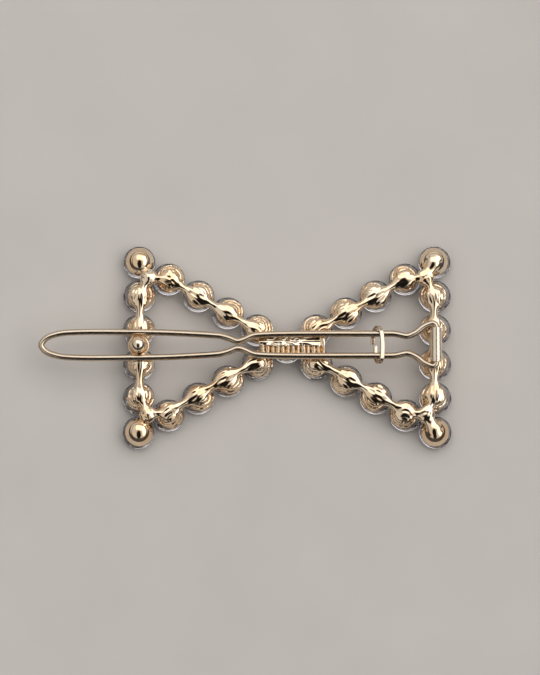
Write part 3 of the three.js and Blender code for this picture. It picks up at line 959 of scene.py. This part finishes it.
def step_down(tree, value, start, end):
    """1 below start, 0 above end."""
    made = node(tree, "ShaderNodeMapRange", interpolation_type="SMOOTHSTEP")
    for key, number in zip(("From Min", "From Max", "To Min", "To Max"), (start, end, 1, 0)):
        made.inputs[key].default_value = number
    tree.links.new(value, made.inputs["Value"])
    return made.outputs["Result"]


def oval(tree, u, v, centre, radii, soft=0.2):
    """1 inside an oval of the sky, seen as a flat ceiling, with a soft edge."""
    a = calc(tree, "POWER", calc(tree, "DIVIDE", calc(tree, "SUBTRACT", u, centre[0]), radii[0]), 2)
    b = calc(tree, "POWER", calc(tree, "DIVIDE", calc(tree, "SUBTRACT", v, centre[1]), radii[1]), 2)
    return step_down(tree, calc(tree, "SQRT", calc(tree, "ADD", a, b)), 1 - soft, 1 + soft)


SKY_LEVEL, SCREEN_LEVEL, UNDER_LEVEL = 0.07, 0.60, 0.3
TENT_OVALS = (  # centre, radii, and how much each one brightens or darkens the screens
    ((-0.02, -0.66), (0.36, 0.88), -0.985),
    ((-1.75, -0.2), (0.22, 2.6), -0.9),
    ((1.9, 0.3), (0.25, 2.8), -0.9),
    ((0.6, 2.3), (3.0, 0.3), -0.7),
    ((1.05, 0.2), (0.5, 1.0), 2.4),
    ((-0.2, 0.95), (1.1, 0.5), 0.1),
)
UNDER_OVALS = (((0.6, -0.5), (0.7, 0.6)), ((-0.8, 0.7), (0.5, 0.6)), ((0.2, 1.6), (2.0, 0.5)))


def make_light():
    """A tent of white screens: open and dark where the camera stands, with gaps between the screens."""
    world = bpy.data.worlds.new("studio")
    world.use_nodes = True
    tree = world.node_tree
    split = node(tree, "ShaderNodeSeparateXYZ")
    tree.links.new(node(tree, "ShaderNodeTexCoord").outputs["Generated"], split.inputs[0])
    x, y, z = split.outputs
    height = calc(tree, "MAXIMUM", calc(tree, "ABSOLUTE", z), 0.04)
    u, v = calc(tree, "DIVIDE", x, height), calc(tree, "DIVIDE", y, height)
    lean = calc(tree, "ADD", z, calc(tree, "MULTIPLY", y, 0.3))
    wall = step_down(tree, calc(tree, "MULTIPLY", lean, -1), -0.42, -0.26)
    level = calc(tree, "ADD", SKY_LEVEL, calc(tree, "MULTIPLY", wall, SCREEN_LEVEL))
    for centre, radii, strength in TENT_OVALS:
        share = calc(tree, "MULTIPLY", oval(tree, u, v, centre, radii), strength)
        level = calc(tree, "MULTIPLY", level, calc(tree, "ADD", 1, share))
    under = UNDER_LEVEL
    for centre, radii in UNDER_OVALS:
        under = calc(tree, "ADD", under, oval(tree, u, v, centre, radii))
    share = step_down(tree, z, -0.03, 0)
    over = calc(tree, "MULTIPLY", level, calc(tree, "SUBTRACT", 1, share))
    level = calc(tree, "ADD", over, calc(tree, "MULTIPLY", under, share))
    background = tree.nodes["Background"]
    background.inputs["Color"].default_value = (1.0, 0.975, 0.95, 1)
    tree.links.new(level, background.inputs["Strength"])
    bpy.context.scene.world = world
    softbox("north_softbox", 170, 58, 700, (800, 520), 1.15, (1.0, 0.97, 0.93))
    bpy.context.scene.view_settings.view_transform = "Standard"


def make_camera():
    elevation, distance = math.radians(84), 460
    view_height = 103.5
    target = Vector((-2.6, 1.4, 2.0))
    back = Vector((0, -math.cos(elevation), math.sin(elevation)))
    camera = bpy.data.cameras.new("camera")
    camera.sensor_width = 36
    camera.lens = camera.sensor_width * distance / view_height
    camera.clip_start, camera.clip_end = 0.01, 10
    made = bpy.data.objects.new("camera", camera)
    made.location = (target + back * distance) * MM
    made.rotation_mode = "QUATERNION"
    made.rotation_quaternion = (-back).to_track_quat("-Z", "Y")
    bpy.context.scene.collection.objects.link(made)
    bpy.context.scene.camera = made


for side in SIDES:
    make_loop(side)
make_knot_cup()
make_bar()
make_stones()
make_pin()
make_keeper()
make_tube()
make_ball()
make_floor()
make_light()
make_camera()
